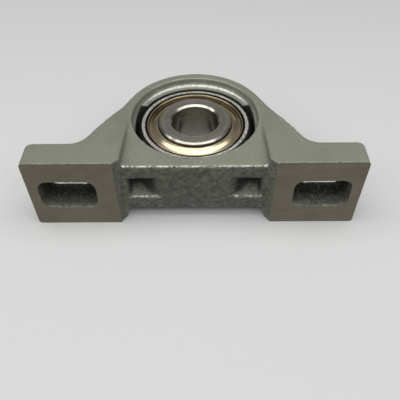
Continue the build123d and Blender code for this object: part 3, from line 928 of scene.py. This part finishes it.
def turned_shape(name, outline, finish, steps=240):
    """A closed outline of radius and height, turned about the shaft axis."""
    body = bmesh.new()
    ring = [body.verts.new((radius, 0.0, height)) for radius, height in outline]
    edges = [body.edges.new(pair) for pair in zip(ring, ring[1:] + ring[:1])]
    bmesh.ops.spin(
        body, geom=ring + edges, cent=(0, 0, 0), axis=(0, 0, 1), angle=2 * pi, steps=steps,
        use_merge=True,
    )
    bmesh.ops.remove_doubles(body, verts=body.verts, dist=0.001 * MM)
    mesh = mesh_from(body, name)
    mesh.materials.append(finish)
    return new_object(name, mesh)


def bend_line(corners, steps=5):
    """A line through corners that are each given with the radius that rounds them."""
    points = []
    for number, (*corner, radius) in enumerate(corners):
        here = Vector(corner)
        if not radius:
            points.append(tuple(here))
            continue
        before = (Vector(corners[number - 1][:2]) - here).normalized()
        after = (Vector(corners[number + 1][:2]) - here).normalized()
        half = before.angle(after) / 2
        run = radius / tan(half)
        centre = here + (before + after).normalized() * radius / sin(half)
        start, end = here + before * run - centre, here + after * run - centre
        for step in range(steps + 1):
            points.append(tuple(centre + start.slerp(end, step / steps).normalized() * radius))
    return points


def make_shield(node, side, finish):
    """Rolled shield: a rim in the ring's groove, a bead, a fold and a cone up to the lip."""
    low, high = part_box(node)
    bottom, top = sorted((abs(low.z), abs(high.z)))
    rim = high.x
    sheet = 0.40 * MM
    inner = RING_RADIUS + 0.45 * MM
    crest = rim - 1.05 * MM
    crown = top - 0.04 * MM
    seat = bottom + 0.15 * MM
    outside = bend_line([
        (rim, seat + sheet, 0.0),
        (crest + 0.45 * MM, seat + sheet, 0.09 * MM),
        (crest + 0.18 * MM, crown, 0.16 * MM),
        (crest - 0.18 * MM, crown, 0.16 * MM),
        (crest - 0.22 * MM, seat + 0.14 * MM, 0.04 * MM),
        (crest - 0.80 * MM, seat + 0.13 * MM, 0.60 * MM),
        (crest - 1.50 * MM, seat + 0.36 * MM, 0.8 * MM),
        (crest - 2.60 * MM, seat + 0.92 * MM, 1.2 * MM),
        (inner + 0.20 * MM, top - 0.02 * MM, 0.20 * MM),
        (inner, top, 0.0),
    ])
    inside = [
        (inner, top - sheet),
        (crest - 1.65 * MM, bottom),
        (crest - 0.25 * MM, bottom),
        (crest, top - 0.84 * MM),
        (crest + 0.25 * MM, seat),
        (rim, seat),
    ]
    outline = [(radius, side * height) for radius, height in outside + inside]
    piece = turned_shape(f"rolled_{node}", outline, finish)
    settle(piece, "insert", "shield_zinc", node, crease=radians(50))


class Growth(Wiring):
    """A Geometry Nodes tree with named inputs, ending in real faces with one finish."""

    def __init__(self, name, **inputs):
        super().__init__(bpy.data.node_groups.new(name, "GeometryNodeTree"))
        self.add_socket("Geometry", "Geometry")
        self.inputs = {self.add_socket(key, "Float"): value for key, value in inputs.items()}
        self.finish = self.add_socket("Finish", "Material")
        self.add_socket("Geometry", "Geometry", "OUTPUT")
        self.given = self.add("NodeGroupInput").outputs

    def add_socket(self, name, kind, in_out="INPUT"):
        """Adds a socket to the tree and returns its identifier."""
        face = self.tree.interface
        return face.new_socket(name, in_out=in_out, socket_type=f"NodeSocket{kind}").identifier

    def position(self):
        """X, Y and Z of each point."""
        return self.add("ShaderNodeSeparateXYZ", self.add("GeometryNodeInputPosition")).outputs

    def named(self, name):
        """A value that the source mesh carries at each point."""
        return self.add("GeometryNodeInputNamedAttribute", data_type="FLOAT", Name=name)

    def cylinder(self, radius, depth, vertices, layers=1, fill="NGON"):
        return self.add(
            "GeometryNodeMeshCylinder", fill_type=fill, Radius=radius, Depth=depth,
            Vertices=vertices, Side_Segments=layers,
        )

    def raised(self, geometry, height):
        """The geometry moved up the Z axis."""
        move = self.add("ShaderNodeCombineXYZ", 0.0, 0.0, height)
        return self.add("GeometryNodeTransform", geometry, Translation=move)

    def turned(self, geometry, rotation):
        return self.add("GeometryNodeTransform", geometry, Rotation=rotation)

    def squeezed(self, geometry, share):
        """The geometry with each point's distance from the Z axis scaled by a share."""
        flat = self.add("ShaderNodeCombineXYZ", share, share, 1.0)
        place = self.vector("MULTIPLY", self.add("GeometryNodeInputPosition"), flat)
        return self.add("GeometryNodeSetPosition", geometry, Position=place)

    def grow(self, name, last, finish, source=None):
        """Ends the tree after its last node and returns its plain mesh as a new piece."""
        real = self.add("GeometryNodeRealizeInstances", last)
        painted = self.add("GeometryNodeSetMaterial", real, Material=self.given["Finish"])
        self.add("NodeGroupOutput", painted)
        piece = new_object(name, source or bpy.data.meshes.new(name))
        modifier = piece.modifiers.new("growth", "NODES")
        modifier.node_group = self.tree
        for identifier, value in self.inputs.items():
            modifier[identifier] = value
        modifier[self.finish] = finish
        bake(piece)
        mesh = piece.data
        mesh.materials.clear()
        mesh.materials.append(finish)
        first = np.zeros(len(mesh.polygons), dtype=np.int32)
        mesh.polygons.foreach_set("material_index", first)
        return piece


def make_set_screw(node, axis, sizes, finish):
    """Threaded socket set screw with a cup point, along its own hole."""
    low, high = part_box(node)
    outward = -axis
    radius = (high.z - low.z) / 2
    far, near = (high.x, low.x) if outward.x > 0 else (low.x, high.x)
    outer = (abs(far) - radius * abs(outward.y)) / abs(outward.x)
    inner = (abs(near) + sizes.point_radius * abs(outward.y)) / abs(outward.x)
    g = Growth(
        "threaded_screw", Length=outer - inner, Radius=radius, Pitch=sizes.thread_pitch,
        Depth=sizes.thread_depth, Socket=sizes.socket_across / 2 / cos(pi / 6),
        Sink=sizes.socket_depth, Point=sizes.point_radius,
    )
    length, wide, point = g.given["Length"], g.given["Radius"], g.given["Point"]
    end_share, cup_lift = 0.86, 0.15 * MM
    x, y, z = g.position()
    turn = g.over(g.math("ARCTAN2", y, x), 2 * pi)
    phase = g.math("FRACT", g.minus(g.over(z, g.given["Pitch"]), turn))
    flank = g.math("ABSOLUTE", g.minus(g.times(phase, 2.0), 1.0))
    crest = g.minus(1.0, g.times(g.over(g.given["Depth"], wide), flank))
    half = g.times(length, 0.5)
    tip = g.over(g.plus(point, g.plus(z, half)), wide)
    end = g.over(g.plus(g.times(wide, end_share), g.minus(half, z)), wide)
    share = g.math("MINIMUM", crest, g.math("MINIMUM", tip, end))
    body = g.squeezed(g.cylinder(wide, length, 48, layers=80), share)
    hexagon = g.cylinder(g.given["Socket"], g.times(g.given["Sink"], 2.0), 6)
    cup = g.add(
        "GeometryNodeMeshCone", Vertices=32, Radius_Bottom=point, Radius_Top=0.0, Depth=point,
    )
    hollow = g.raised(cup, g.minus(0.0, g.plus(half, cup_lift)))
    cut = g.add("GeometryNodeMeshBoolean", body, operation="DIFFERENCE", solver="EXACT")
    g.gather(cut.inputs[1], g.raised(hexagon, half), hollow)
    piece = g.grow(f"threaded_{node}", cut, finish)
    centre = outward * (outer + inner) / 2
    centre.z = (low.z + high.z) / 2
    turned = outward.to_track_quat("Z", "Y").to_matrix().to_4x4()
    piece.data.transform(Matrix.Translation(centre) @ turned)
    settle(piece, node, "screw_steel", node)


def make_rivets(sizes, finish):
    """Cage rivets with a domed head on both sides, one between each two balls."""
    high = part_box("cage_rivets")[1]
    count = sum(node.startswith("ball_") for node in NODES)
    g = Growth(
        "domed_rivets", Pitch=(high.x - sizes.rivet_head) / cos(pi / count),
        Head=sizes.rivet_head, Shank=sizes.rivet_shank, Dome=sizes.rivet_dome, Reach=high.z,
    )
    thick = g.given["Dome"]
    blank = g.cylinder(g.given["Head"], thick, 20, layers=7, fill="TRIANGLE_FAN")
    risen = g.plus(g.over(g.position()[2], thick), 0.5)
    share = g.math("SQRT", g.minus(1.001, g.math("POWER", risen, 2.0), clamp=True))
    sunk = g.minus(g.given["Reach"], g.times(thick, 0.5))
    head = g.raised(g.squeezed(blank, share), sunk)
    foot = g.turned(head, (pi, 0.0, 0.0))
    shank = g.cylinder(g.given["Shank"], g.times(sunk, 2.0), 16)
    rivet = g.add("GeometryNodeJoinGeometry")
    g.gather(rivet.inputs[0], head, foot, shank)
    circle = g.add("GeometryNodeMeshCircle", Vertices=count, Radius=g.given["Pitch"])
    ring = g.turned(circle, (0.0, 0.0, pi / count))
    placed = g.add("GeometryNodeInstanceOnPoints", ring, Instance=rivet)
    settle(g.grow("domed_cage_rivets", placed, finish), "cage", "cage_steel", "cage_rivets")


def make_grit(housing, sizes, finish):
    """Sand grains burnt on to the scoops and the slot walls."""
    g = Growth("burnt_on_grit", Density=sizes.grit_density, Size=sizes.grit_size)
    share = g.times(g.named("rough_skin"), g.named("pocketed"))
    seeds = g.add(
        "GeometryNodeDistributePointsOnFaces", g.given["Geometry"], Seed=11,
        Density=g.times(g.given["Density"], share),
    )
    grain = g.add("GeometryNodeMeshIcoSphere", 1.0, 1)
    lump = g.add("GeometryNodeTransform", grain, Scale=(1.0, 0.75, 0.6))
    least, most = 0.35, 1.0
    spread = g.add("FunctionNodeRandomValue", None, None, least, most, data_type="FLOAT", Seed=5)
    size = g.times(g.given["Size"], spread.outputs[1])
    most_turn = (6.0, 6.0, 6.0)
    turn = g.add("FunctionNodeRandomValue", None, most_turn, data_type="FLOAT_VECTOR", Seed=23)
    placed = g.add(
        "GeometryNodeInstanceOnPoints", seeds, Instance=lump, Rotation=turn, Scale=size,
    )
    piece = g.grow("cast_grit", placed, finish, source=housing.data.copy())
    settle(piece, "housing", "housing_paint")


# ------------------------------------------------------------------ operators
class PILLOWBLOCK_OT_stage(bpy.types.Operator):
    """Set up the camera, the pale floor and the soft light"""

    bl_idname = "pillow_block.stage"
    bl_label = "Studio"

    def execute(self, context):
        make_stage(context.scene.pillow_studio)
        return {"FINISHED"}


class PILLOWBLOCK_OT_cast_housing(bpy.types.Operator):
    """Build the painted casting with its milled pads and burnt-on grit"""

    bl_idname = "pillow_block.cast_housing"
    bl_label = "Cast Housing"

    def execute(self, context):
        colours = context.scene.pillow_finishes
        housing = make_cast_housing(context.scene.pillow_casting, colours)
        make_grit(housing, context.scene.pillow_fasteners, grit_finish(colours))
        return {"FINISHED"}


class PILLOWBLOCK_OT_rings(bpy.types.Operator):
    """Finish the outer and inner rings as ground steel"""

    bl_idname = "pillow_block.rings"
    bl_label = "Rings"

    def execute(self, context):
        colours = context.scene.pillow_finishes
        dress("outer_ring", outer_ring_finish(colours))
        dress("inner_ring", turned_steel_finish("inner_ring_steel", colours.ring_steel, 0.22))
        return {"FINISHED"}


class PILLOWBLOCK_OT_balls_and_cage(bpy.types.Operator):
    """Finish the balls and the pressed cage, and build its rivets"""

    bl_idname = "pillow_block.balls_and_cage"
    bl_label = "Balls and Cage"

    def execute(self, context):
        colours = context.scene.pillow_finishes
        ball, cage = ball_finish(colours), pressed_steel_finish(colours)
        for node in NODES:
            if node.startswith("ball_"):
                dress(node, ball)
            elif node.startswith("cage_"):
                dress(node, cage)
        make_rivets(context.scene.pillow_fasteners, cage)
        return {"FINISHED"}


class PILLOWBLOCK_OT_shields(bpy.types.Operator):
    """Build the two rolled shields in yellow zinc"""

    bl_idname = "pillow_block.shields"
    bl_label = "Shields"

    def execute(self, context):
        finish = yellow_zinc_finish(context.scene.pillow_finishes)
        make_shield("front_shield", 1, finish)
        make_shield("back_shield", -1, finish)
        return {"FINISHED"}


class PILLOWBLOCK_OT_lip_seals(bpy.types.Operator):
    """Finish the two lip seals as moulded rubber"""

    bl_idname = "pillow_block.lip_seals"
    bl_label = "Lip Seals"

    def execute(self, context):
        finish = rubber_finish(context.scene.pillow_finishes)
        dress("front_lip_seal", finish)
        dress("back_lip_seal", finish)
        return {"FINISHED"}


class PILLOWBLOCK_OT_set_screws(bpy.types.Operator):
    """Build the two threaded set screws in black oxide"""

    bl_idname = "pillow_block.set_screws"
    bl_label = "Set Screws"

    def execute(self, context):
        sizes = context.scene.pillow_fasteners
        finish = black_oxide_finish(context.scene.pillow_finishes)
        for joint in frame["joints"]:
            if joint["child"].startswith("set_screw"):
                make_set_screw(joint["child"], Vector(joint["axis"]), sizes, finish)
        return {"FINISHED"}


# ------------------------------------------------------------------ studio
def make_camera(sizes):
    lens = bpy.data.cameras.new("camera")
    lens.sensor_width = 36
    lens.lens = sizes.camera_lens
    lens.clip_start = 0.005
    lens.clip_end = 20
    camera = new_object("camera", lens)
    turn = Matrix.Rotation(-sizes.camera_heading, 4, "Z")
    turn = turn @ Matrix.Rotation(pi / 2 - sizes.camera_dip, 4, "X")
    turn = turn @ Matrix.Rotation(sizes.camera_roll, 4, "Z")
    camera.matrix_world = Matrix.Translation(sizes.camera_place) @ turn
    bpy.context.scene.camera = camera


def make_floor(sizes):
    """A wide plain floor that bare metal mirrors as bright, but not close round the axis."""
    half = 3.0
    corners = [(-half, -half), (half, -half), (half, half), (-half, half)]
    mesh = bpy.data.meshes.new("floor")
    mesh.from_pydata([(x, y, FLOOR_LEVEL) for x, y in corners], [], [(0, 1, 2, 3)])
    floor = new_object("floor", mesh)
    w = Finish("floor_paint")
    rays = w.add("ShaderNodeLightPath").outputs
    away = w.size_of(w.vector("MULTIPLY", w.place, (1.0, 1.0, 0.0)))
    mirrored_share = w.times(rays["Is Glossy Ray"], w.ramp(away, 12 * MM, 30 * MM))
    seen = w.math("MAXIMUM", rays["Is Camera Ray"], rays["Is Glossy Ray"])
    seen = w.math("MAXIMUM", seen, rays["Is Transmission Ray"])
    colour = w.blend(seen, sizes.floor_bounce, sizes.floor_seen)
    plain = w.add("ShaderNodeBsdfDiffuse", colour)
    mirrored = w.add("ShaderNodeEmission", sizes.floor_seen, sizes.floor_mirrored)
    mixed = w.add("ShaderNodeMixShader", mirrored_share, plain, mirrored)
    w.add("ShaderNodeOutputMaterial", mixed)
    mesh.materials.append(w.material)


def make_softbox(name, place, aim, size, power):
    lamp = bpy.data.lights.new(name, "AREA")
    lamp.shape = "RECTANGLE"
    lamp.size, lamp.size_y = size
    lamp.energy = power
    turn = (aim - place).to_track_quat("-Z", "Y").to_matrix().to_4x4()
    new_object(name, lamp).matrix_world = Matrix.Translation(place) @ turn


def make_room_light(strength, front_share):
    """An even room, darker in front and low down behind, and pale to the camera."""
    world = bpy.data.worlds.new("room")
    bpy.context.scene.world = world
    world.use_nodes = True
    world.node_tree.nodes.clear()
    w = Wiring(world.node_tree)
    rays = w.add("ShaderNodeLightPath").outputs
    towards = w.add("ShaderNodeTexCoord").outputs["Generated"]
    _, y, z = w.add("ShaderNodeSeparateXYZ", towards).outputs
    behind = w.times(w.ramp(y, -0.5, 0.5), w.ramp(z, 0.50, 0.74, 0.12, 0.75))
    share = w.math("MAXIMUM", w.ramp(z, 0.0, 0.9), behind)
    level = w.ramp(share, 0.0, 1.0, strength * front_share, strength)
    lit = w.add("ShaderNodeBackground", (1.0, 0.99, 0.97), level)
    seen = w.add("ShaderNodeBackground", (0.80, 0.80, 0.80), 1.0)
    mixed = w.add("ShaderNodeMixShader", rays["Is Camera Ray"], lit, seen)
    w.add("ShaderNodeOutputWorld", mixed)


def make_stage(sizes):
    make_camera(sizes)
    make_floor(sizes)
    over, front = Vector(sizes.overhead_place), Vector(sizes.front_place)
    below = Vector((over.x, over.y, 0.0))
    make_softbox("overhead_softbox", over, below, sizes.overhead_size, sizes.overhead_power)
    make_softbox("front_softbox", front, Vector(), sizes.front_size, sizes.front_power)
    make_room_light(sizes.room_light, sizes.front_light)
    bpy.context.scene.view_settings.view_transform = "Standard"


# ------------------------------------------------------------------ add-on
GROUPS = {
    "pillow_casting": CastHousingSettings,
    "pillow_fasteners": FastenerSettings,
    "pillow_finishes": FinishSettings,
    "pillow_studio": StudioSettings,
}
PIECES = (
    PILLOWBLOCK_OT_stage,
    PILLOWBLOCK_OT_cast_housing,
    PILLOWBLOCK_OT_rings,
    PILLOWBLOCK_OT_balls_and_cage,
    PILLOWBLOCK_OT_shields,
    PILLOWBLOCK_OT_lip_seals,
    PILLOWBLOCK_OT_set_screws,
)


class PILLOWBLOCK_PT_pieces(bpy.types.Panel):
    """Lists the pieces and their settings"""

    bl_idname = "PILLOWBLOCK_PT_pieces"
    bl_label = "Pillow Block"
    bl_space_type = "VIEW_3D"
    bl_region_type = "UI"
    bl_category = "Pillow Block"

    def draw(self, context):
        column = self.layout.column()
        for piece in PIECES:
            column.operator(piece.bl_idname)
        for group in GROUPS:
            box = column.box()
            settings = getattr(context.scene, group)
            for name in settings.__annotations__:
                box.prop(settings, name)


def register():
    for name, group in GROUPS.items():
        bpy.utils.register_class(group)
        setattr(bpy.types.Scene, name, PointerProperty(type=group))
    for piece in PIECES:
        bpy.utils.register_class(piece)
    bpy.utils.register_class(PILLOWBLOCK_PT_pieces)


def unregister():
    bpy.utils.unregister_class(PILLOWBLOCK_PT_pieces)
    for piece in reversed(PIECES):
        bpy.utils.unregister_class(piece)
    for name, group in GROUPS.items():
        delattr(bpy.types.Scene, name)
        bpy.utils.unregister_class(group)


def main():
    register()
    bpy.ops.pillow_block.stage()
    bpy.ops.pillow_block.cast_housing()
    bpy.ops.pillow_block.rings()
    bpy.ops.pillow_block.balls_and_cage()
    bpy.ops.pillow_block.shields()
    bpy.ops.pillow_block.lip_seals()
    bpy.ops.pillow_block.set_screws()


if __name__ == "__main__":
    main()
